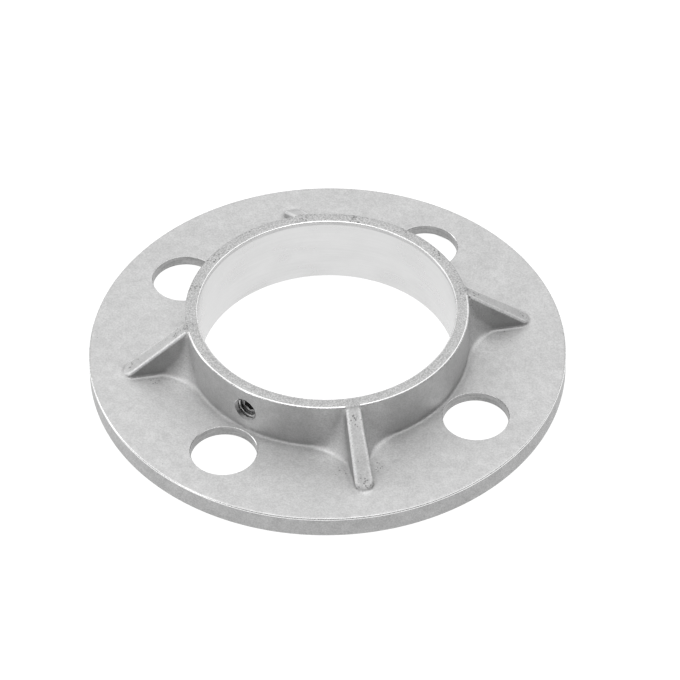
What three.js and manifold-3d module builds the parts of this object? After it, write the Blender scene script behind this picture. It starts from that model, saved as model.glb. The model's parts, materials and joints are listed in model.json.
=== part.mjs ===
// A cast stainless steel stanchion base: a round plate, a ribbed collar with a plain bore,
// four bolt holes, and a socket set screw in a radial hole through the collar wall.
// Millimetres, +Z up. The origin is the centre of the underside.

import * as THREE from 'three';
import { mergeVertices } from 'three/addons/utils/BufferGeometryUtils.js';
import Module from 'manifold-3d';

const wasm = await Module();
wasm.setup();

// Plate. Its underside is recessed, so it stands on an outer skirt and a lip round the bore.
const PLATE_RADIUS = 47.5;
const PLATE_TOP = 4.7;
const PLATE_EDGE = 0.4;
const RECESS_DEPTH = 2.4;
const SKIRT_INNER_RADIUS = 43.8;
const LIP_OUTER_RADIUS = 26.9;
const RECESS_DRAFT = 0.4;

// Collar and bore.
const BORE_RADIUS = 25.5;
const COLLAR_RADIUS = 28;
const COLLAR_TOP = 15;
const BORE_CHAMFER = 0.3;
const COLLAR_EDGE = 0.25;
const COLLAR_FILLET = 1.6;

// Bolt holes, one on each of +X, +Y, -X and -Y.
const BOLT_HOLES = 4;
const BOLT_HOLE_RADIUS = 6.5;
const BOLT_CIRCLE_RADIUS = 35.25;

// Ribs, midway between the bolt holes. A rib's crest runs from the collar's top edge to the plate.
const RIBS = 4;
const RIB_WIDTH = 3.2;
const RIB_REACH = 41;
const RIB_CREST_DROP = 0.1;
const RIB_ROOT = 1.2;

// M5 set screw, halfway up the collar on the -Y side. The hole takes the thread's outer diameter.
const SCREW_HOLE_RADIUS = 2.5;
const SCREW_RADIUS = 2.2;
const SCREW_LENGTH = 4;
const SCREW_RECESS = 1.6;
const SCREW_HEIGHT = (PLATE_TOP + COLLAR_TOP) / 2;
const SCREW_END_CHAMFER = 0.4;
const SCREW_POINT_RADIUS = 1.25;
const CUP_RADIUS = 1;
const CUP_DEPTH = 0.5;
const SOCKET_ACROSS_FLATS = 2.5;
const SOCKET_DEPTH = 2;
const SOCKET_SIDES = 6;

// How finely round shapes are divided.
const RING_SIDES = 96;
const HOLE_SIDES = 32;
const SCREW_SIDES = 24;
const FILLET_STEPS = 4;

// How far a cutting tool runs past the face it cuts.
const OVERCUT = 1;

const QUARTER_TURN = Math.PI / 2;
const UP = new THREE.Vector3(0, 0, 1);

// A closed geometry as a solid that can be joined and cut.
function solidOf(geometry) {
  const bare = geometry.clone();
  bare.deleteAttribute('normal');
  bare.deleteAttribute('uv');
  const merged = mergeVertices(bare);
  const mesh = new wasm.Mesh({
    numProp: 3,
    vertProperties: new Float32Array(merged.attributes.position.array),
    triVerts: new Uint32Array(merged.index.array),
  });
  return new wasm.Manifold(mesh);
}

// A solid back as a geometry.
function geometryOf(solid) {
  const mesh = solid.getMesh();
  const geometry = new THREE.BufferGeometry();
  geometry.setAttribute('position', new THREE.BufferAttribute(mesh.vertProperties, 3));
  geometry.setIndex(new THREE.BufferAttribute(mesh.triVerts, 1));
  geometry.computeVertexNormals();
  return geometry;
}

// A closed outline of [radius, height] points turned about the Z axis.
function turned(outline, sides) {
  const points = outline.map(([radius, height]) => new THREE.Vector2(radius, height));
  return new THREE.LatheGeometry(points, sides).rotateX(QUARTER_TURN);
}

// An upright cylinder from one height to another.
function uprightCylinder(radius, low, high, sides) {
  const cylinder = new THREE.CylinderGeometry(radius, radius, high - low, sides);
  return cylinder.rotateX(QUARTER_TURN).translate(0, 0, (low + high) / 2);
}

// The concave quarter round between the plate's top and the collar's wall, from the plate up.
function collarFillet() {
  const steps = Array.from({ length: FILLET_STEPS + 1 }, (_, step) => step / FILLET_STEPS);
  return steps.map((share) => {
    const angle = share * QUARTER_TURN;
    const radius = COLLAR_RADIUS + COLLAR_FILLET * (1 - Math.sin(angle));
    const height = PLATE_TOP + COLLAR_FILLET * (1 - Math.cos(angle));
    return [radius, height];
  });
}

// The plate and collar in section, from the foot of the bore outwards and back over the top.
function turnedBody() {
  const outline = [
    [BORE_RADIUS + BORE_CHAMFER, 0],
    [LIP_OUTER_RADIUS, 0],
    [LIP_OUTER_RADIUS + RECESS_DRAFT, RECESS_DEPTH],
    [SKIRT_INNER_RADIUS - RECESS_DRAFT, RECESS_DEPTH],
    [SKIRT_INNER_RADIUS, 0],
    [PLATE_RADIUS - PLATE_EDGE, 0],
    [PLATE_RADIUS, PLATE_EDGE],
    [PLATE_RADIUS, PLATE_TOP - PLATE_EDGE],
    [PLATE_RADIUS - PLATE_EDGE, PLATE_TOP],
    ...collarFillet(),
    [COLLAR_RADIUS, COLLAR_TOP - COLLAR_EDGE],
    [COLLAR_RADIUS - COLLAR_EDGE, COLLAR_TOP],
    [BORE_RADIUS + BORE_CHAMFER, COLLAR_TOP],
    [BORE_RADIUS, COLLAR_TOP - BORE_CHAMFER],
    [BORE_RADIUS, BORE_CHAMFER],
    [BORE_RADIUS + BORE_CHAMFER, 0],
  ];
  return turned(outline, RING_SIDES);
}

// One rib along +X: a sloping web, rooted inside the collar's wall and the plate.
function rib() {
  const crest = COLLAR_TOP - RIB_CREST_DROP;
  const root = PLATE_TOP - RIB_ROOT;
  const side = new THREE.Shape();
  side.moveTo(COLLAR_RADIUS - RIB_ROOT, root);
  side.lineTo(RIB_REACH, root);
  side.lineTo(RIB_REACH, PLATE_TOP);
  side.lineTo(COLLAR_RADIUS, crest);
  side.lineTo(COLLAR_RADIUS - RIB_ROOT, crest);
  side.closePath();
  const web = new THREE.ExtrudeGeometry(side, { depth: RIB_WIDTH, bevelEnabled: false });
  return web.translate(0, 0, -RIB_WIDTH / 2).rotateX(QUARTER_TURN);
}

// One bolt hole's cutter, on +X.
function boltHole() {
  const cutter = uprightCylinder(BOLT_HOLE_RADIUS, -OVERCUT, PLATE_TOP + OVERCUT, HOLE_SIDES);
  return cutter.translate(BOLT_CIRCLE_RADIUS, 0, 0);
}

// The set screw hole's cutter: level, along Y, through the -Y side of the collar.
function screwHole() {
  const inner = BORE_RADIUS - OVERCUT;
  const outer = COLLAR_RADIUS + COLLAR_FILLET;
  const cutter = uprightCylinder(SCREW_HOLE_RADIUS, inner, outer, SCREW_SIDES);
  return cutter.rotateX(QUARTER_TURN).translate(0, 0, SCREW_HEIGHT);
}

// The whole casting after machining.
function baseCasting() {
  let solid = solidOf(turnedBody());
  for (let index = 0; index < RIBS; index += 1) {
    const angle = (index + 0.5) * (2 * Math.PI / RIBS);
    solid = solid.add(solidOf(rib().rotateZ(angle)));
  }
  for (let index = 0; index < BOLT_HOLES; index += 1) {
    const angle = index * (2 * Math.PI / BOLT_HOLES);
    solid = solid.subtract(solidOf(boltHole().rotateZ(angle)));
  }
  return geometryOf(solid.subtract(solidOf(screwHole())));
}

// The set screw along Z: cup point at the bottom, hexagon socket at the top.
function setScrew() {
  const outline = [
    [0, CUP_DEPTH],
    [CUP_RADIUS, 0],
    [SCREW_POINT_RADIUS, 0],
    [SCREW_RADIUS, SCREW_RADIUS - SCREW_POINT_RADIUS],
    [SCREW_RADIUS, SCREW_LENGTH - SCREW_END_CHAMFER],
    [SCREW_RADIUS - SCREW_END_CHAMFER, SCREW_LENGTH],
    [0, SCREW_LENGTH],
  ];
  const corner = SOCKET_ACROSS_FLATS / Math.sqrt(3);
  const floor = SCREW_LENGTH - SOCKET_DEPTH;
  const socket = uprightCylinder(corner, floor, SCREW_LENGTH + OVERCUT, SOCKET_SIDES);
  return geometryOf(solidOf(turned(outline, SCREW_SIDES)).subtract(solidOf(socket)));
}

const castSteel = new THREE.MeshStandardMaterial({ color: 0xc4c3c0, roughness: 0.55, metalness: 1 });
const screwSteel = new THREE.MeshStandardMaterial({ color: 0xaeaca8, roughness: 0.35, metalness: 1 });

const base = new THREE.Mesh(baseCasting(), castSteel);
base.name = 'base_casting';

// The screw's own +Z points out of the collar, along -Y, with its socket end below the wall's face.
const screw = new THREE.Mesh(setScrew(), screwSteel);
screw.name = 'set_screw';
screw.quaternion.setFromUnitVectors(UP, new THREE.Vector3(0, -1, 0));
screw.position.set(0, -(COLLAR_RADIUS - SCREW_RECESS - SCREW_LENGTH), SCREW_HEIGHT);

const stanchionBase = new THREE.Group();
stanchionBase.add(base, screw);

export default stanchionBase;
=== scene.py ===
# A cast stainless steel stanchion base and its set screw, finished as they leave the workshop:
# the casting is blasted, then its bore, bolt holes and one tapped hole are machined.

import json
import math

import bmesh
import bpy
import numpy as np
from mathutils import Matrix, Vector, noise


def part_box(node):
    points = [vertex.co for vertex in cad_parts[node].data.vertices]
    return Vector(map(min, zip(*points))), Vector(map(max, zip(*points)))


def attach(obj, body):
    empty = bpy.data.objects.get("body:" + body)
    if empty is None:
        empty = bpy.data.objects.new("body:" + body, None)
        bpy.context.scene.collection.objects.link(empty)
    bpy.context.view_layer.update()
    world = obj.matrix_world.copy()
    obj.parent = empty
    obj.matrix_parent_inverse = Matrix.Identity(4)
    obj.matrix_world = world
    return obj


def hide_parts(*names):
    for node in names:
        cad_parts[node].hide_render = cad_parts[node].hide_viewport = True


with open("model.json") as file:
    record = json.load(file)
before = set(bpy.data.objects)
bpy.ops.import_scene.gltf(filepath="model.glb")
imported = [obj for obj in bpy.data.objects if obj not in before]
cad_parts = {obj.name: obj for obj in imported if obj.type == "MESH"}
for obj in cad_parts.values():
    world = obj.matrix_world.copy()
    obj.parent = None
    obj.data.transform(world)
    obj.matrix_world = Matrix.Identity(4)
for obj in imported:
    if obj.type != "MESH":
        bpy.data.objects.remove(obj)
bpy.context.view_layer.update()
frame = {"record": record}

MM = 0.001
TURN = 2 * math.pi

# ---------------------------------------------------------------- sizes, in millimetres

low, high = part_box("base_casting")
screw_low, screw_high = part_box("set_screw")
mounts = {mount["name"]: mount for mount in frame["record"]["mounts"]}

PLATE_RADIUS = high.x / MM
COLLAR_TOP = high.z / MM
PLATE_TOP = mounts["bolt_seat_plus_x"]["pos_m"][2] / MM
SCREW_HEIGHT = (screw_low.z + screw_high.z) / 2 / MM
SCREW_OUTER_END = screw_low.y / MM
SCREW_POINT = screw_high.y / MM

BORE_RADIUS = 25.5
COLLAR_RADIUS = 28.0
RECESS_DEPTH = 2.4
SKIRT_INNER_RADIUS = 43.8
LIP_OUTER_RADIUS = 26.9
BOLT_HOLE_RADIUS = 6.5
BOLT_CIRCLE_RADIUS = 35.25

RIM_ROUND = 0.4
COLLAR_ROUND = 0.28
COLLAR_FILE_END = 35
COLLAR_FILE_PAST = 0.12
BORE_ROUND = 0.22
BORE_LAND = 0.9
HOLE_BREAK = 0.12
RECESS_ROUND = 0.9
EDGE_BREAK = 0.2

RIB_CREST_AT_COLLAR = 15.0
RIB_CREST_AT_END = 5.0
RIB_REACH = 41.0
RIB_HALF_WIDTH_AT_COLLAR = 1.45
RIB_HALF_WIDTH_AT_END = 1.8
RIB_DRAFT = 0.06
RIB_EDGE_ROUND = 0.38

WALL_FILLET = 0.5
WALL_FILLET_SPREAD = 7.3
WALL_FILLET_SPREAD_HEIGHT = 3.2
FOOT_FILLET_AT_COLLAR = 0.55
FOOT_FILLET_AT_RIB_END = 0.5

THREAD_RADIUS = 2.5
THREAD_PITCH = 0.8
THREAD_DEPTH = 0.54
THREAD_START = 0.15
THREAD_CLEARANCE = 0.04
SCREW_MOUTH_RADIUS = 2.6
SCREW_MOUTH_DEPTH = 0.7
SCREW_MOUTH_RISE = 0.8
SCREW_CHAMFER = 0.4
SCREW_POINT_RADIUS = 1.25
CUP_RADIUS = 1.0
CUP_DEPTH = 0.5
SOCKET_ACROSS_FLATS = 2.5
SOCKET_DEPTH = 2.0

RAW_GRAIN = 0.33
SKIN_WAVES = ((6.0, 0.05), (1.6, 0.02))
RING_STEPS = 288
HOLE_STEPS = 96
THREAD_STEPS = 40


# ---------------------------------------------------------------- turning and joining

def arc(centre, radius, start, end, steps=4):
    """Points on a round corner, from one angle to another in degrees."""
    angles = [math.radians(start + (end - start) * step / steps) for step in range(steps + 1)]
    return [(centre[0] + radius * math.cos(a), centre[1] + radius * math.sin(a)) for a in angles]


def piece_from(bm, name):
    """A new object holding this bmesh, in metres, at the origin."""
    bmesh.ops.scale(bm, vec=(MM, MM, MM), verts=bm.verts)
    mesh = bpy.data.meshes.new(name)
    bm.to_mesh(mesh)
    bm.free()
    piece = bpy.data.objects.new(name, mesh)
    bpy.context.scene.collection.objects.link(piece)
    return piece


def turned(outline, steps):
    """A closed outline of (radius, height) points turned about the vertical axis."""
    bm = bmesh.new()
    corners = [bm.verts.new((radius, 0, height)) for radius, height in outline]
    sides = [bm.edges.new(pair) for pair in zip(corners, corners[1:] + corners[:1])]
    bmesh.ops.spin(bm, geom=corners + sides, axis=(0, 0, 1), angle=TURN, steps=steps, use_merge=True)
    bmesh.ops.remove_doubles(bm, verts=bm.verts, dist=1e-4)
    bmesh.ops.recalc_face_normals(bm, faces=bm.faces)
    return bm


def bake(piece):
    """Applies a piece's modifiers."""
    bpy.context.view_layer.update()
    depsgraph = bpy.context.evaluated_depsgraph_get()
    mesh = bpy.data.meshes.new_from_object(piece.evaluated_get(depsgraph))
    before = piece.data
    piece.modifiers.clear()
    piece.data = mesh
    bpy.data.meshes.remove(before)


def machine(piece, tool, operation="DIFFERENCE"):
    """Cuts a piece with a tool, which leaves its finish on the cut and is then put away."""
    modifier = piece.modifiers.new("machining", "BOOLEAN")
    modifier.object = tool
    modifier.operation = operation
    modifier.solver = "MANIFOLD"
    modifier.material_mode = "TRANSFER"
    bake(piece)
    bpy.data.meshes.remove(tool.data)


# ---------------------------------------------------------------- the shape of the raw casting

def joined(a, b, radius):
    """Two surfaces joined, with a fillet of this radius in the corner between them."""
    corner = np.hypot(np.maximum(radius - a, 0), np.maximum(radius - b, 0))
    return np.maximum(radius, np.minimum(a, b)) - corner


def common(a, b, radius):
    """What two surfaces have in common, with the corner between them rounded."""
    corner = np.hypot(np.maximum(radius + a, 0), np.maximum(radius + b, 0))
    return np.minimum(-radius, np.maximum(a, b)) + corner


def along(value, start, end, low_value, high_value):
    """A size that changes evenly from one place to another."""
    share = np.clip((value - start) / (end - start), 0, 1)
    return low_value + (high_value - low_value) * share


RIB_ANGLES = [TURN * (quarter + 0.5) / 4 for quarter in range(4)]
RIB_SLOPE = math.atan2(RIB_CREST_AT_COLLAR - RIB_CREST_AT_END, RIB_REACH - COLLAR_RADIUS)
RIB_INNER_END = 20.0


def rib_field(x, y, z, angle):
    """How far a place is outside one rib: a sloping crest between two drafted sides."""
    out = x * math.cos(angle) + y * math.sin(angle)
    across = y * math.cos(angle) - x * math.sin(angle)
    crest = (out - COLLAR_RADIUS) * math.sin(RIB_SLOPE) + (z - RIB_CREST_AT_COLLAR) * math.cos(RIB_SLOPE)
    half_width = along(out, COLLAR_RADIUS, RIB_REACH, RIB_HALF_WIDTH_AT_COLLAR, RIB_HALF_WIDTH_AT_END)
    tip = RIB_REACH - RIB_HALF_WIDTH_AT_END
    side = np.hypot(across, np.maximum(out - tip, 0)) - half_width - RIB_DRAFT * np.maximum(-crest, 0)
    return np.maximum(common(crest, side, RIB_EDGE_ROUND), RIB_INNER_END - out)


def casting_field(points):
    """How far each place is outside the upper surface of the casting, in millimetres."""
    x, y, z = points.T
    radius = np.hypot(x, y)
    ribs = np.minimum.reduce([rib_field(x, y, z, angle) for angle in RIB_ANGLES])
    height = np.maximum(z - PLATE_TOP, 0)
    below_crest = RIB_CREST_AT_COLLAR - (radius - COLLAR_RADIUS) * math.tan(RIB_SLOPE) - z
    wall_fillet = WALL_FILLET + WALL_FILLET_SPREAD * np.exp(-height / WALL_FILLET_SPREAD_HEIGHT)
    wall_fillet = np.minimum(wall_fillet, 0.05 + np.maximum(below_crest, 0))
    walls = joined(radius - COLLAR_RADIUS, ribs, wall_fillet)
    foot_fillet = along(radius, COLLAR_RADIUS + 2, RIB_REACH, FOOT_FILLET_AT_COLLAR, FOOT_FILLET_AT_RIB_END)
    return joined(z - PLATE_TOP, walls, foot_fillet)


def steepest(points, reach=0.02):
    """The direction in which the field rises fastest, at each place."""
    slopes = []
    for axis in np.eye(3):
        rise = casting_field(points + axis * reach) - casting_field(points - axis * reach)
        slopes.append(rise / (2 * reach))
    return np.stack(slopes, axis=1)


def settle(points, rounds):
    """Moves points onto the casting's surface."""
    for _ in range(rounds):
        slope = steepest(points)
        distance = casting_field(points) / np.maximum((slope ** 2).sum(axis=1), 0.2)
        points = points - np.clip(distance, -0.6, 0.6)[:, None] * slope
    return points


def relax(points, edges, share):
    """Moves each point towards the middle of its neighbours."""
    total = np.zeros_like(points)
    count = np.zeros(len(points))
    for here, there in (edges.T, edges.T[::-1]):
        np.add.at(total, here, points[there])
        np.add.at(count, here, 1)
    return points + share * (total / np.maximum(count, 1)[:, None] - points)


RAW_RADIUS = PLATE_RADIUS + 1.5
RAW_BOTTOM = -1.2
RAW_TOP = COLLAR_TOP + 1.2


def rough_rib(bm, angle):
    """One rib as a plain wedge."""
    half = RIB_HALF_WIDTH_AT_END + 0.2
    side = [(COLLAR_RADIUS - 2, RAW_BOTTOM), (RIB_REACH, RAW_BOTTOM), (RIB_REACH, PLATE_TOP),
            (COLLAR_RADIUS, RIB_CREST_AT_COLLAR), (COLLAR_RADIUS - 2, RIB_CREST_AT_COLLAR)]
    face = bm.faces.new([bm.verts.new((out, -half, height)) for out, height in side])
    pushed = bmesh.ops.extrude_face_region(bm, geom=[face])["geom"]
    moved = [item for item in pushed if isinstance(item, bmesh.types.BMVert)]
    bmesh.ops.translate(bm, verts=moved, vec=(0, 2 * half, 0))
    wedge = list(face.verts) + moved
    bmesh.ops.rotate(bm, verts=wedge, matrix=Matrix.Rotation(angle, 3, "Z"))


def raw_casting():
    """The casting before machining: oversize at the rim, underside, top and bore."""
    bm = bmesh.new()
    for radius, top in ((RAW_RADIUS, PLATE_TOP), (COLLAR_RADIUS, RAW_TOP)):
        disc = bmesh.ops.create_cone(bm, cap_ends=True, segments=RING_STEPS, radius1=radius,
                                     radius2=radius, depth=top - RAW_BOTTOM)
        bmesh.ops.translate(bm, verts=disc["verts"], vec=(0, 0, (top + RAW_BOTTOM) / 2))
    for angle in RIB_ANGLES:
        rough_rib(bm, angle)
    bmesh.ops.recalc_face_normals(bm, faces=bm.faces)
    casting = piece_from(bm, "base_casting_finished")
    remesh = casting.modifiers.new("grain", "REMESH")
    remesh.mode = "VOXEL"
    remesh.voxel_size = RAW_GRAIN * MM
    bake(casting)
    sculpt_casting(casting)
    return casting


def sculpt_casting(casting):
    """Draws the rough block onto the true cast shape and gives it the slight waves of a cast skin."""
    mesh = casting.data
    points = np.zeros(len(mesh.vertices) * 3)
    mesh.vertices.foreach_get("co", points)
    points = points.reshape(-1, 3) / MM
    edges = np.zeros(len(mesh.edges) * 2, dtype=int)
    mesh.edges.foreach_get("vertices", edges)
    edges = edges.reshape(-1, 2)
    radius = np.hypot(points[:, 0], points[:, 1])
    upper = (radius < RAW_RADIUS - 0.7) & (points[:, 2] > RAW_BOTTOM + 0.7) & (points[:, 2] < RAW_TOP - 0.5)
    shaped = settle(points, 5)
    for _ in range(4):
        shaped = settle(relax(shaped, edges, 0.5), 2)
    slope = steepest(shaped)
    waves = np.array([sum(noise.noise(Vector(place) / length) * height for length, height in SKIN_WAVES)
                      for place in shaped])
    shaped = shaped + slope * waves[:, None]
    points[upper] = shaped[upper]
    mesh.vertices.foreach_set("co", (points * MM).ravel())
    mesh.update()


# ---------------------------------------------------------------- machining the casting

def finish_faces(bm, rule):
    """Gives each face the number of its finish."""
    for face in bm.faces:
        face.material_index = rule(face.calc_center_median())


def tool_from(bm, name, finishes):
    """A cutting tool that leaves these finishes on what it cuts."""
    tool = piece_from(bm, name)
    for finish in finishes:
        tool.data.materials.append(finish)
    return tool


def finished_outline():
    """The turned shape that the casting is cut to: bore, collar top, rim and hollow underside."""
    bore_foot = arc((BORE_RADIUS + BORE_ROUND, BORE_ROUND), BORE_ROUND, 180, 270)
    lip_foot = arc((LIP_OUTER_RADIUS - EDGE_BREAK, EDGE_BREAK), EDGE_BREAK, 270, 360, 3)
    hollow = RECESS_DEPTH - RECESS_ROUND
    hollow_in = arc((LIP_OUTER_RADIUS + RECESS_ROUND, hollow), RECESS_ROUND, 180, 90)
    hollow_out = arc((SKIRT_INNER_RADIUS - RECESS_ROUND, hollow), RECESS_ROUND, 90, 0)
    skirt_foot = arc((SKIRT_INNER_RADIUS + EDGE_BREAK, EDGE_BREAK), EDGE_BREAK, 180, 270, 3)
    rim_foot = arc((PLATE_RADIUS - RIM_ROUND, RIM_ROUND), RIM_ROUND, 270, 360)
    rim_top = arc((PLATE_RADIUS - RIM_ROUND, PLATE_TOP - RIM_ROUND), RIM_ROUND, 0, 65)
    clear = PLATE_TOP + 0.5
    above_rim = rim_top[-1][0] - (clear - rim_top[-1][1]) / math.tan(math.radians(25))
    bore_mouth = arc((BORE_RADIUS + BORE_ROUND, COLLAR_TOP - BORE_ROUND), BORE_ROUND, 90, 180)
    bore_mouth.append((BORE_RADIUS, COLLAR_TOP - BORE_LAND))
    return (bore_foot + lip_foot + hollow_in + hollow_out + skirt_foot + rim_foot + rim_top
            + [(above_rim, clear), (above_rim, COLLAR_TOP)] + bore_mouth)


BARE, TOP_FACE, BORED, BROKEN_EDGE_HIGHLIGHT, RIM, LAND = range(6)


def turned_finish(middle):
    """Which finish the lathe leaves: bored, faced, a broken edge with a painted highlight, the rim side
    with painted shade, or none where it is left as cast.
    """
    radius = math.hypot(middle.x, middle.y)
    if radius < BORE_RADIUS + 0.005:
        return LAND if middle.z > COLLAR_TOP - BORE_LAND else BORED
    if middle.z > COLLAR_TOP - 0.001:
        return TOP_FACE
    if radius < BORE_RADIUS + BORE_ROUND:
        return BROKEN_EDGE_HIGHLIGHT
    if radius > PLATE_RADIUS - RIM_ROUND and middle.z > PLATE_TOP - RIM_ROUND:
        return BROKEN_EDGE_HIGHLIGHT
    if radius > PLATE_RADIUS - RIM_ROUND and middle.z > 0:
        return RIM
    return BARE


def edge_file(angle):
    """A tool that rounds the collar's top edge between this rib and the next."""
    reach = COLLAR_RADIUS + 0.6
    centre = (COLLAR_RADIUS - COLLAR_ROUND, COLLAR_TOP - COLLAR_ROUND)
    rounded = arc(centre, COLLAR_ROUND, 90, COLLAR_FILE_END)
    past = COLLAR_RADIUS + COLLAR_FILE_PAST
    low = rounded[-1][1] - (past - rounded[-1][0]) * math.tan(math.radians(90 - COLLAR_FILE_END))
    above = COLLAR_TOP + 0.3
    outline = [(rounded[0][0], above)] + rounded + [(past, low), (reach, low), (reach, above)]
    bm = bmesh.new()
    corners = [bm.verts.new((radius, 0, height)) for radius, height in outline]
    start = bm.faces.new(corners)
    half_rib = math.asin(RIB_HALF_WIDTH_AT_COLLAR / COLLAR_RADIUS)
    bmesh.ops.rotate(bm, verts=bm.verts, matrix=Matrix.Rotation(angle + half_rib, 3, "Z"))
    bmesh.ops.spin(bm, geom=[start], axis=(0, 0, 1), angle=TURN / 4 - 2 * half_rib, steps=RING_STEPS // 4)
    bmesh.ops.recalc_face_normals(bm, faces=bm.faces)
    return bm


def bolt_drill(angle):
    """A drill for one bolt hole, which also breaks the hole's edges."""
    wide = BOLT_HOLE_RADIUS + HOLE_BREAK
    outline = [(0, RECESS_DEPTH - 1), (wide, RECESS_DEPTH - 1), (wide, RECESS_DEPTH),
               (BOLT_HOLE_RADIUS, RECESS_DEPTH + HOLE_BREAK), (BOLT_HOLE_RADIUS, PLATE_TOP - HOLE_BREAK),
               (wide, PLATE_TOP), (wide, PLATE_TOP + 1.2), (0, PLATE_TOP + 1.2)]
    bm = turned(outline, HOLE_STEPS)
    # the top break takes the second finish, a painted highlight; the wall and lower break take the first,
    # drilled finish with painted shade
    finish_faces(bm, lambda middle: int(PLATE_TOP - HOLE_BREAK < middle.z < PLATE_TOP))
    place = (BOLT_CIRCLE_RADIUS * math.cos(angle), BOLT_CIRCLE_RADIUS * math.sin(angle), 0)
    bmesh.ops.translate(bm, verts=bm.verts, vec=place)
    return bm


def threaded_rod(start, end, shrink):
    """A threaded rod up the vertical axis. Rods of every length have their threads in the same places."""
    flat = THREAD_PITCH / 8
    root = THREAD_RADIUS - THREAD_DEPTH - shrink
    crest = THREAD_RADIUS - shrink
    outline = [(root, 0), (root, 2 * flat), (crest, 4.5 * flat), (crest, 5.5 * flat), (root, THREAD_PITCH)]
    first = math.floor(start / THREAD_PITCH) - 1
    turns = math.ceil(end / THREAD_PITCH) + 1 - first
    bm = bmesh.new()
    bottom = first * THREAD_PITCH - THREAD_START
    corners = [bm.verts.new((radius, 0, height + bottom)) for radius, height in outline]
    sides = [bm.edges.new(pair) for pair in zip(corners, corners[1:])]
    bmesh.ops.spin(bm, geom=corners + sides, axis=(0, 0, 1), angle=TURN * turns,
                   steps=THREAD_STEPS * turns, dvec=(0, 0, THREAD_PITCH / THREAD_STEPS))
    bmesh.ops.remove_doubles(bm, verts=bm.verts, dist=1e-3)
    for height, up in ((start, -1), (end, 1)):
        everything = bm.verts[:] + bm.edges[:] + bm.faces[:]
        bmesh.ops.bisect_plane(bm, geom=everything, plane_co=(0, 0, height), plane_no=(0, 0, up),
                               clear_outer=True)
    bmesh.ops.holes_fill(bm, edges=[edge for edge in bm.edges if edge.is_boundary], sides=0)
    bmesh.ops.recalc_face_normals(bm, faces=bm.faces)
    return bm


def lay_on_screw_axis(bm):
    """Turns a shape made up the vertical axis to point outwards through the collar wall."""
    bmesh.ops.rotate(bm, verts=bm.verts, matrix=Matrix.Rotation(TURN / 4, 3, "X"))
    bmesh.ops.translate(bm, verts=bm.verts, vec=(0, 0, SCREW_HEIGHT))


def countersink(mouth, surface, depth, rise):
    """A cone that opens a hole to this mouth where it meets a surface."""
    narrow = mouth - depth
    wide = mouth + rise
    bm = bmesh.new()
    cone = bmesh.ops.create_cone(bm, cap_ends=True, segments=HOLE_STEPS, radius1=narrow, radius2=wide,
                                 depth=depth + rise)
    bmesh.ops.translate(bm, verts=cone["verts"], vec=(0, 0, surface + (rise - depth) / 2))
    return bm


def finished_casting():
    """The casting, machined."""
    casting = raw_casting()
    casting.data.materials.append(blasted)
    bm = turned(finished_outline(), RING_STEPS)
    finish_faces(bm, turned_finish)
    machine(casting, tool_from(bm, "lathe", [blasted, faced, bored, broken_edge_painted_highlight, rim, land]), "INTERSECT")
    # the collar's rounded top edge takes the bright painted-highlight finish on the two quarters facing the
    # camera and the faced finish on the two quarters facing away
    for angle, edge in zip(RIB_ANGLES, (faced, faced, broken_edge_painted_highlight, broken_edge_painted_highlight)):
        machine(casting, tool_from(edge_file(angle), "file", [edge]))
    for quarter in range(4):
        machine(casting, tool_from(bolt_drill(TURN * quarter / 4), "drill", [drilled, broken_edge_painted_highlight]))
    tap = threaded_rod(BORE_RADIUS - 1.5, COLLAR_RADIUS + 1, 0)
    lay_on_screw_axis(tap)
    machine(casting, tool_from(tap, "tap", [tapped]))
    mouth = countersink(SCREW_MOUTH_RADIUS, COLLAR_RADIUS, SCREW_MOUTH_DEPTH,
                        SCREW_MOUTH_RISE)
    lay_on_screw_axis(mouth)
    machine(casting, tool_from(mouth, "countersink", [drilled]))
    return casting


def finished_screw():
    """The cup-point set screw with its hexagon socket."""
    point = -SCREW_POINT
    head = -SCREW_OUTER_END
    bm = threaded_rod(point, head, THREAD_CLEARANCE)
    lay_on_screw_axis(bm)
    screw = tool_from(bm, "set_screw_finished", [screw_steel])
    crest = THREAD_RADIUS - THREAD_CLEARANCE
    clear = crest + 0.1
    outline = [(0, point + CUP_DEPTH), (CUP_RADIUS, point + 0.03), (CUP_RADIUS + 0.03, point),
               (SCREW_POINT_RADIUS - 0.04, point), (SCREW_POINT_RADIUS, point + 0.02),
               (clear, point + clear - SCREW_POINT_RADIUS), (clear, head - SCREW_CHAMFER - 0.1),
               (crest - SCREW_CHAMFER, head), (0, head)]
    bm = turned(outline, HOLE_STEPS)
    lay_on_screw_axis(bm)
    machine(screw, tool_from(bm, "lathe", [screw_steel]), "INTERSECT")
    corner = SOCKET_ACROSS_FLATS / math.sqrt(3)
    bm = bmesh.new()
    length = SOCKET_DEPTH + 1
    key = bmesh.ops.create_cone(bm, cap_ends=True, segments=6, radius1=corner, radius2=corner, depth=length)
    bmesh.ops.translate(bm, verts=key["verts"], vec=(0, 0, head - SOCKET_DEPTH + length / 2))
    lay_on_screw_axis(bm)
    machine(screw, tool_from(bm, "broach", [socket_steel_painted_shade]))
    sink = countersink(corner + 0.05, head, 0.5, 0.5)
    lay_on_screw_axis(sink)
    machine(screw, tool_from(sink, "countersink", [screw_steel]))
    return screw


# ---------------------------------------------------------------- finishes

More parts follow.
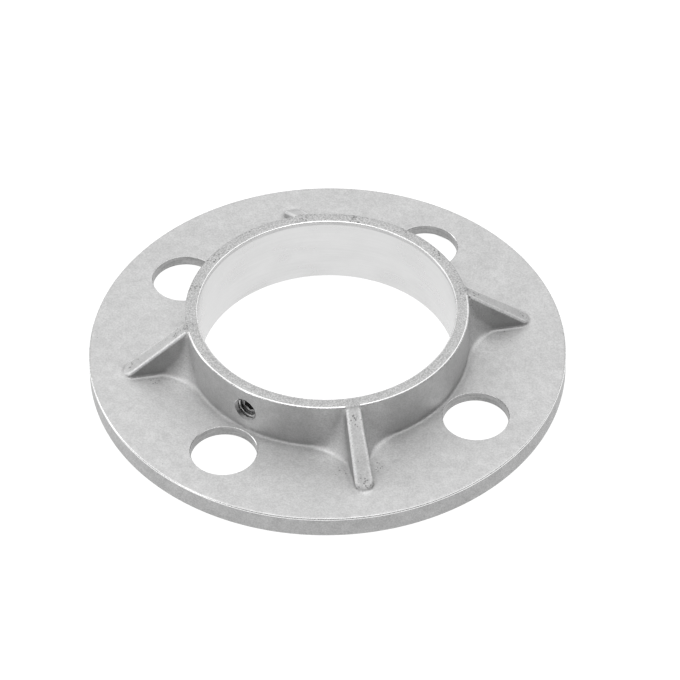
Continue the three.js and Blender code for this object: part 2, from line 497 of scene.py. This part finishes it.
class Finish:
    """A metal finish under construction. Sizes of grain and marks are in millimetres."""

    def __init__(self, name):
        self.material = bpy.data.materials.new(name)
        self.material.use_nodes = True
        self.tree = self.material.node_tree
        self.shader = self.tree.nodes["Principled BSDF"]
        self.shader.inputs["Metallic"].default_value = 1.0
        coordinates = self.node("ShaderNodeTexCoord")
        self.place = self.scaled(coordinates.outputs["Object"], (1 / MM, 1 / MM, 1 / MM))

    def node(self, kind, **settings):
        made = self.tree.nodes.new(kind)
        for setting, value in settings.items():
            setattr(made, setting, value)
        return made

    def feed(self, target, source):
        """Gives an input a number or another node's output."""
        if isinstance(source, bpy.types.NodeSocket):
            self.tree.links.new(source, target)
        else:
            target.default_value = source

    def scaled(self, vector, scale):
        mapping = self.node("ShaderNodeMapping")
        self.feed(mapping.inputs["Vector"], vector)
        mapping.inputs["Scale"].default_value = scale
        return mapping.outputs["Vector"]

    def grain(self, size, detail=2.0, roughness=0.5, stretch=(1, 1, 1)):
        """Noise with lumps of about this size, optionally drawn out along an axis."""
        made = self.node("ShaderNodeTexNoise")
        self.feed(made.inputs["Vector"], self.scaled(self.place, [1 / (size * s) for s in stretch]))
        made.inputs["Scale"].default_value = 1.0
        made.inputs["Detail"].default_value = detail
        made.inputs["Roughness"].default_value = roughness
        return made.outputs["Fac"]

    def spots(self, size):
        """Distance from the nearest of many scattered points, in units of their spacing."""
        made = self.node("ShaderNodeTexVoronoi")
        self.feed(made.inputs["Vector"], self.scaled(self.place, (1 / size,) * 3))
        made.inputs["Scale"].default_value = 1.0
        return made.outputs["Distance"]

    def mark(self, name):
        """A mark stored on the piece, such as wear."""
        return self.node("ShaderNodeAttribute", attribute_name=name).outputs["Fac"]

    def spread(self, source, low, high, to_low, to_high):
        """Stretches part of a pattern over another range of values."""
        made = self.node("ShaderNodeMapRange", interpolation_type="SMOOTHSTEP")
        self.feed(made.inputs["Value"], source)
        made.inputs["From Min"].default_value = low
        made.inputs["From Max"].default_value = high
        made.inputs["To Min"].default_value = to_low
        made.inputs["To Max"].default_value = to_high
        return made.outputs["Result"]

    def sum(self, *terms):
        return self.combine("ADD", terms)

    def product(self, *terms):
        return self.combine("MULTIPLY", terms)

    def combine(self, operation, terms):
        total = terms[0]
        for term in terms[1:]:
            made = self.node("ShaderNodeMath", operation=operation)
            self.feed(made.inputs[0], total)
            self.feed(made.inputs[1], term)
            total = made.outputs["Value"]
        return total

    def blend(self, share, first, second):
        made = self.node("ShaderNodeMix", data_type="FLOAT")
        self.feed(made.inputs["Factor"], share)
        self.feed(made.inputs["A"], first)
        self.feed(made.inputs["B"], second)
        return made.outputs["Result"]

    def relief(self, height, depth):
        """Presses a pattern this many millimetres deep into the surface."""
        bump = self.node("ShaderNodeBump")
        bump.inputs["Distance"].default_value = depth * MM
        self.feed(bump.inputs["Height"], height)
        return bump.outputs["Normal"]

    def finished(self, tone, roughness, normal):
        self.feed(self.shader.inputs["Base Color"], tone)
        self.feed(self.shader.inputs["Roughness"], roughness)
        self.feed(self.shader.inputs["Normal"], normal)
        return self.material


WEAR_AND_HIGHLIGHT_TONE = 0.78
PINHOLE_TONE = 0.14
PINHOLE_SPACING = 0.5


def blasted_finish(name, tone, speckle):
    """Cast stainless steel blasted with grit: matt, faintly mottled, with scattered pinholes, painted shade
    in corners, on steep walls and on rib flanks, and a lighter tone where edges show rubbing wear and where
    a highlight is painted.
    """
    steel = Finish(name)
    cloud = steel.spread(steel.grain(7.0, 3.0), 0.3, 0.7, -0.012, 0.012)
    mottle = steel.spread(steel.grain(1.1, 3.0, 0.6), 0.3, 0.7, -0.025, 0.025)
    grit = steel.spread(steel.grain(0.32, 2.0, 0.6), 0.3, 0.7, -speckle, speckle)
    pitted = steel.mark("pitted")
    few = steel.spread(steel.grain(3.5, 1.0), 0.52, 0.75, -0.16, 0.02)
    reach = steel.sum(few, steel.product(pitted, 0.78))
    ragged = steel.spread(steel.grain(0.5, 2.0, 0.7), 0.3, 0.7, -0.25, 0.25)
    hole = steel.node("ShaderNodeMath", operation="SUBTRACT")
    steel.feed(hole.inputs[0], reach)
    steel.feed(hole.inputs[1], steel.sum(steel.spots(PINHOLE_SPACING), ragged))
    pinhole = steel.spread(hole.outputs["Value"], 0.0, 0.14, 0.0, 1.0)
    matt = steel.sum(tone, cloud, mottle, grit)
    # painted shade: this mark darkens the tone to 0.6 of it in concave corners, on steep walls and on rib
    # flanks
    painted_shade = steel.blend(steel.mark("painted_shade"), matt, steel.product(matt, 0.6))
    # part rubbing wear, part painted highlight: this mark lifts the tone on convex edges, beside each rib
    # and at the end of each crest
    wear_and_painted_highlight = steel.blend(steel.mark("wear_and_painted_highlight"), painted_shade, steel.sum(WEAR_AND_HIGHLIGHT_TONE, mottle, grit, grit))
    colour = steel.blend(steel.product(pinhole, 0.65), wear_and_painted_highlight, PINHOLE_TONE)
    roughness = steel.sum(steel.spread(steel.grain(2.2, 2.0), 0.3, 0.7, 0.58, 0.68),
                          steel.product(steel.mark("wear_and_painted_highlight"), -0.12))
    height = steel.sum(steel.product(steel.grain(0.32, 2.0, 0.6), 0.55),
                       steel.product(steel.grain(1.1, 2.0), 0.6), steel.product(pinhole, -0.9))
    return steel.finished(colour, roughness, steel.relief(height, 0.05))


def bored_finish():
    """The bore, turned on a lathe: bright, with fine rings round it."""
    steel = Finish("bored_steel")
    rings = steel.grain(0.22, 3.0, 0.7, (60, 60, 1))
    patches = steel.grain(9.0, 2.0, 0.5, (1, 1, 0.5))
    tone = steel.sum(0.66, steel.spread(rings, 0.3, 0.7, -0.015, 0.015),
                     steel.spread(patches, 0.3, 0.7, -0.03, 0.02))
    roughness = steel.spread(patches, 0.3, 0.7, 0.26, 0.36)
    return steel.finished(tone, roughness, steel.relief(rings, 0.005))


def cut_finish(name, tone, roughness, ring_size, depth):
    """A drilled, tapped or broken edge: cut metal with fine tool marks round it."""
    steel = Finish(name)
    marks = steel.grain(ring_size, 2.0, 0.6, (20, 20, 1))
    speckle = steel.grain(0.5, 2.0)
    shade = steel.sum(tone, steel.spread(marks, 0.3, 0.7, -0.05, 0.05),
                      steel.spread(speckle, 0.3, 0.7, -0.04, 0.04))
    sheen = steel.spread(speckle, 0.3, 0.7, roughness - 0.05, roughness + 0.05)
    return steel.finished(shade, sheen, steel.relief(marks, depth))


blasted = blasted_finish("blasted_steel", 0.56, 0.045)
# painted shade: the rim side uses a darker copy of the blasted finish, standing in for the shade on that
# vertical face
rim = blasted_finish("blasted_rim_steel_painted_shade", 0.47, 0.06)
faced = blasted_finish("faced_steel", 0.49, 0.12)
bored = bored_finish()
# painted highlight: a broken edge is machined, and its tone is set far above the rest to paint the bright
# line that light draws along edges
broken_edge_painted_highlight = cut_finish("broken_edge_steel_painted_highlight", 0.86, 0.28, 0.3, 0.004)
land = cut_finish("bore_land_steel", 0.55, 0.4, 0.3, 0.004)
# painted shade: the drilled tone is kept dark to stand in for the shade inside the bolt holes and the
# tapped hole's mouth
drilled = cut_finish("drilled_steel_painted_shade", 0.3, 0.36, 0.25, 0.012)
tapped = cut_finish("tapped_steel", 0.62, 0.25, 0.2, 0.004)
screw_steel = cut_finish("screw_steel_turned", 0.45, 0.36, 0.15, 0.004)
# painted shade: the socket is given a darker tone than the rest of the screw, standing in for the shade in
# the recess
socket_steel_painted_shade = cut_finish("screw_socket_steel", 0.28, 0.45, 0.2, 0.006)


# ---------------------------------------------------------------- wear, pits, painted highlights and painted shade

# how strongly painted shade darkens a concave corner, a steep wall and a rib's flank, from 0 to 1
CORNER_SHADE = 0.3
WALL_SHADE = 0.2
FLANK_SHADE = 0.75


def beside(angle, radius, sideways=0):
    """A place this far out along a line from the centre, moved sideways off the line."""
    return (radius * math.cos(angle) - sideways * math.sin(angle),
            radius * math.sin(angle) + sideways * math.cos(angle))


def pitted_places():
    """Casting pits gather at both ends and one side of each crest, at each rib's foot, and
    round the back of the collar, where nothing rubs. Each has a place, a spread and a strength."""
    places = []
    for angle in RIB_ANGLES:
        places.append((beside(angle, COLLAR_RADIUS + 2), 1.5, 0.75))
        places.append((beside(angle, RIB_REACH - 1.5), 1.6, 0.65))
        for radius in np.arange(COLLAR_RADIUS + 4, RIB_REACH - 2, 2):
            places.append((beside(angle, radius, -RIB_HALF_WIDTH_AT_COLLAR / 2), 0.8, 0.6))
        for side in (-1, 1):
            places.append((beside(angle, COLLAR_RADIUS + 7, side * 2 * RIB_HALF_WIDTH_AT_END), 1.6, 0.6))
    for angle in np.linspace(RIB_ANGLES[0], RIB_ANGLES[2], 9):
        places.append((beside(angle, COLLAR_RADIUS - 0.5), 3.5, 0.6))
    return places


def painted_highlight_places():
    """Where a highlight is painted onto the corners beside each rib and onto the end of its crest."""
    places = []
    for angle in RIB_ANGLES:
        places.append((beside(angle, RIB_REACH), 1.2, 0.3))
        for side in (-1, 1):
            places.append((beside(angle, COLLAR_RADIUS + 1.8, side * 5), 3.2, 0.6))
    return places


def around_places(points, places):
    """How strongly each point is marked by the places near it."""
    strongest = np.zeros(len(points))
    for (x, y), spread, strength in places:
        distance = np.hypot(points[:, 0] - x, points[:, 1] - y) / spread
        strongest = np.maximum(strongest, strength * np.exp(-distance ** 2))
    return strongest


def mark_wear_and_painted_light(casting):
    """Marks where the cast surface is lighter from rubbing wear and painted highlights, darker from painted
    shade in corners, on steep walls and on rib flanks, or pitted.
    """
    mesh = casting.data
    points = np.zeros(len(mesh.vertices) * 3)
    mesh.vertices.foreach_get("co", points)
    points = points.reshape(-1, 3) / MM
    centre = casting_field(points)
    bend = {}
    for reach in (0.5, 1.4):
        around = sum(casting_field(points + axis * sign * reach) for axis in np.eye(3) for sign in (-1, 1))
        bend[reach] = (around / 6 - centre) / reach
    cast_skin = (np.abs(centre) < 0.2) & (np.hypot(points[:, 0], points[:, 1]) > COLLAR_RADIUS - 0.1)
    # lighter on convex edges: part rubbing wear, part painted highlight
    wear_and_painted_highlight = np.clip((bend[0.5] - 0.02) / 0.1, 0, 1) * cast_skin
    # painted shade in concave corners
    painted_shade = np.clip((-bend[1.4] - 0.02) / 0.15, 0, 1) * cast_skin * CORNER_SHADE
    # painted highlight beside each rib and at the end of its crest
    wear_and_painted_highlight = np.maximum(wear_and_painted_highlight, around_places(points, painted_highlight_places()) * cast_skin)
    # painted shade on steep walls, strongest on the rib flanks
    steep = np.clip((0.35 - steepest(points)[:, 2]) / 0.25, 0, 1)
    from_rib = np.minimum.reduce([np.abs(rib_field(*points.T, angle)) for angle in RIB_ANGLES])
    flank = np.clip(1.2 - from_rib / 0.6, 0, 1)
    shade = WALL_SHADE + (FLANK_SHADE - WALL_SHADE) * flank
    painted_shade = np.maximum(painted_shade, steep * shade * cast_skin)
    pitted = around_places(points, pitted_places()) * (points[:, 2] > PLATE_TOP - 0.5)
    for name, values in (("wear_and_painted_highlight", wear_and_painted_highlight), ("painted_shade", painted_shade), ("pitted", pitted)):
        mark = mesh.attributes.new(name, "FLOAT", "POINT")
        mark.data.foreach_set("value", values.astype(np.float32))


# ---------------------------------------------------------------- putting it together

def smooth_except(piece, angle):
    """Smooth shading that stays crisp at edges sharper than this."""
    piece.data.shade_smooth()
    piece.data.set_sharp_from_angle(angle=math.radians(angle))


casting = finished_casting()
mark_wear_and_painted_light(casting)
smooth_except(casting, 28)
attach(casting, "base")
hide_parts("base_casting")

screw = finished_screw()
smooth_except(screw, 28)
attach(screw, "screw")
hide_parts("set_screw")


# ---------------------------------------------------------------- floor, light and camera

CAMERA_LENS = 199.65
CAMERA_DISTANCE = 754.04
CAMERA_HEIGHT_ANGLE = 44.182
CAMERA_ROUND_ANGLE = 35.30
CAMERA_AIM = (0.3422, -0.1929, -0.8221)

FLOOR_TONE = 0.15
FLOOR_GLOW = 0.95
FLOOR_REACH = 1500
DOME_EDGE = (-0.3, 0.9)
DOME_LOW_LIGHT = 0.06
DOME_HIGH_LIGHT = 1.3
SKYLINE = (0.1, 0.6)
SKYLINE_LIGHT = 0.3
SOFTBOX_DISTANCE = 0.9


def pale_floor():
    bm = bmesh.new()
    bmesh.ops.create_grid(bm, x_segments=1, y_segments=1, size=FLOOR_REACH)
    floor = piece_from(bm, "floor")
    paper = bpy.data.materials.new("pale_floor")
    paper.use_nodes = True
    shader = paper.node_tree.nodes["Principled BSDF"]
    shader.inputs["Base Color"].default_value = (FLOOR_TONE, FLOOR_TONE, FLOOR_TONE, 1)
    shader.inputs["Roughness"].default_value = 0.9
    shader.inputs["Emission Color"].default_value = (1, 1, 1, 1)
    shader.inputs["Emission Strength"].default_value = FLOOR_GLOW
    floor.data.materials.append(paper)


def direction(round_angle, height_angle):
    """A direction seen from the part: round from the front, and up from the floor."""
    across = math.cos(height_angle)
    return Vector((math.sin(round_angle) * across, -math.cos(round_angle) * across, math.sin(height_angle)))


def studio_dome(brightest, low_light, high_light):
    """Soft light from all round, strongest from one direction."""
    world = bpy.data.worlds.new("studio")
    bpy.context.scene.world = world
    world.use_nodes = True
    nodes, links = world.node_tree.nodes, world.node_tree.links
    background = nodes["Background"]
    background.inputs["Color"].default_value = (1, 1, 1, 1)
    around = nodes.new("ShaderNodeTexCoord")
    towards = nodes.new("ShaderNodeVectorMath")
    towards.operation = "DOT_PRODUCT"
    towards.inputs[1].default_value = brightest
    links.new(around.outputs["Generated"], towards.inputs[0])
    strength = nodes.new("ShaderNodeMapRange")
    strength.interpolation_type = "SMOOTHSTEP"
    strength.inputs["From Min"].default_value = DOME_EDGE[0]
    strength.inputs["From Max"].default_value = DOME_EDGE[1]
    strength.inputs["To Min"].default_value = low_light
    strength.inputs["To Max"].default_value = high_light
    links.new(towards.outputs["Value"], strength.inputs["Value"])
    parts = nodes.new("ShaderNodeSeparateXYZ")
    links.new(around.outputs["Generated"], parts.inputs["Vector"])
    skyline = nodes.new("ShaderNodeMapRange")
    skyline.interpolation_type = "SMOOTHSTEP"
    skyline.inputs["From Min"].default_value = SKYLINE[0]
    skyline.inputs["From Max"].default_value = SKYLINE[1]
    skyline.inputs["To Min"].default_value = SKYLINE_LIGHT
    links.new(parts.outputs["Z"], skyline.inputs["Value"])
    together = nodes.new("ShaderNodeMath")
    together.operation = "MULTIPLY"
    links.new(strength.outputs["Result"], together.inputs[0])
    links.new(skyline.outputs["Result"], together.inputs[1])
    links.new(together.outputs["Value"], background.inputs["Strength"])


def softbox(name, towards, distance, size, glow):
    """A square area light of this brightness, aimed at the part."""
    data = bpy.data.lights.new(name, "AREA")
    data.shape = "SQUARE"
    data.size = size
    data.energy = glow * math.pi * size ** 2
    light = bpy.data.objects.new(name, data)
    light.location = towards * distance
    light.rotation_euler = towards.to_track_quat("Z", "Y").to_euler()
    bpy.context.scene.collection.objects.link(light)


def camera():
    data = bpy.data.cameras.new("camera")
    data.sensor_width = 36
    data.lens = CAMERA_LENS
    data.clip_start = 0.05
    data.clip_end = 20
    eye = bpy.data.objects.new("camera", data)
    bpy.context.scene.collection.objects.link(eye)
    up, side, roll = (math.radians(angle) for angle in CAMERA_AIM)
    turn = (Matrix.Rotation(math.radians(CAMERA_ROUND_ANGLE), 4, "Z")
            @ Matrix.Rotation(math.radians(90 - CAMERA_HEIGHT_ANGLE), 4, "X")
            @ Matrix.Rotation(side, 4, "Y") @ Matrix.Rotation(up, 4, "X") @ Matrix.Rotation(roll, 4, "Z"))
    towards = direction(math.radians(CAMERA_ROUND_ANGLE), math.radians(CAMERA_HEIGHT_ANGLE))
    place = towards * CAMERA_DISTANCE * MM
    eye.matrix_world = Matrix.Translation(place) @ turn
    bpy.context.scene.camera = eye


DOME_BRIGHTEST_HEIGHT = 62
pale_floor()
studio_dome(direction(math.radians(CAMERA_ROUND_ANGLE + 180), math.radians(DOME_BRIGHTEST_HEIGHT)),
            DOME_LOW_LIGHT, DOME_HIGH_LIGHT)
softbox("overhead_softbox", Vector((0, 0, 1)), SOFTBOX_DISTANCE, 0.35, 4.0)
for name, round_angle, height_angle, size, glow in (("left_softbox", -105, 15, 0.4, 1.6),
                                                    ("ramp_softbox", -58, 18, 0.25, 3.5)):
    towards = direction(math.radians(CAMERA_ROUND_ANGLE + round_angle), math.radians(height_angle))
    softbox(name, towards, SOFTBOX_DISTANCE, size, glow)
camera()
bpy.context.scene.view_settings.view_transform = "Standard"
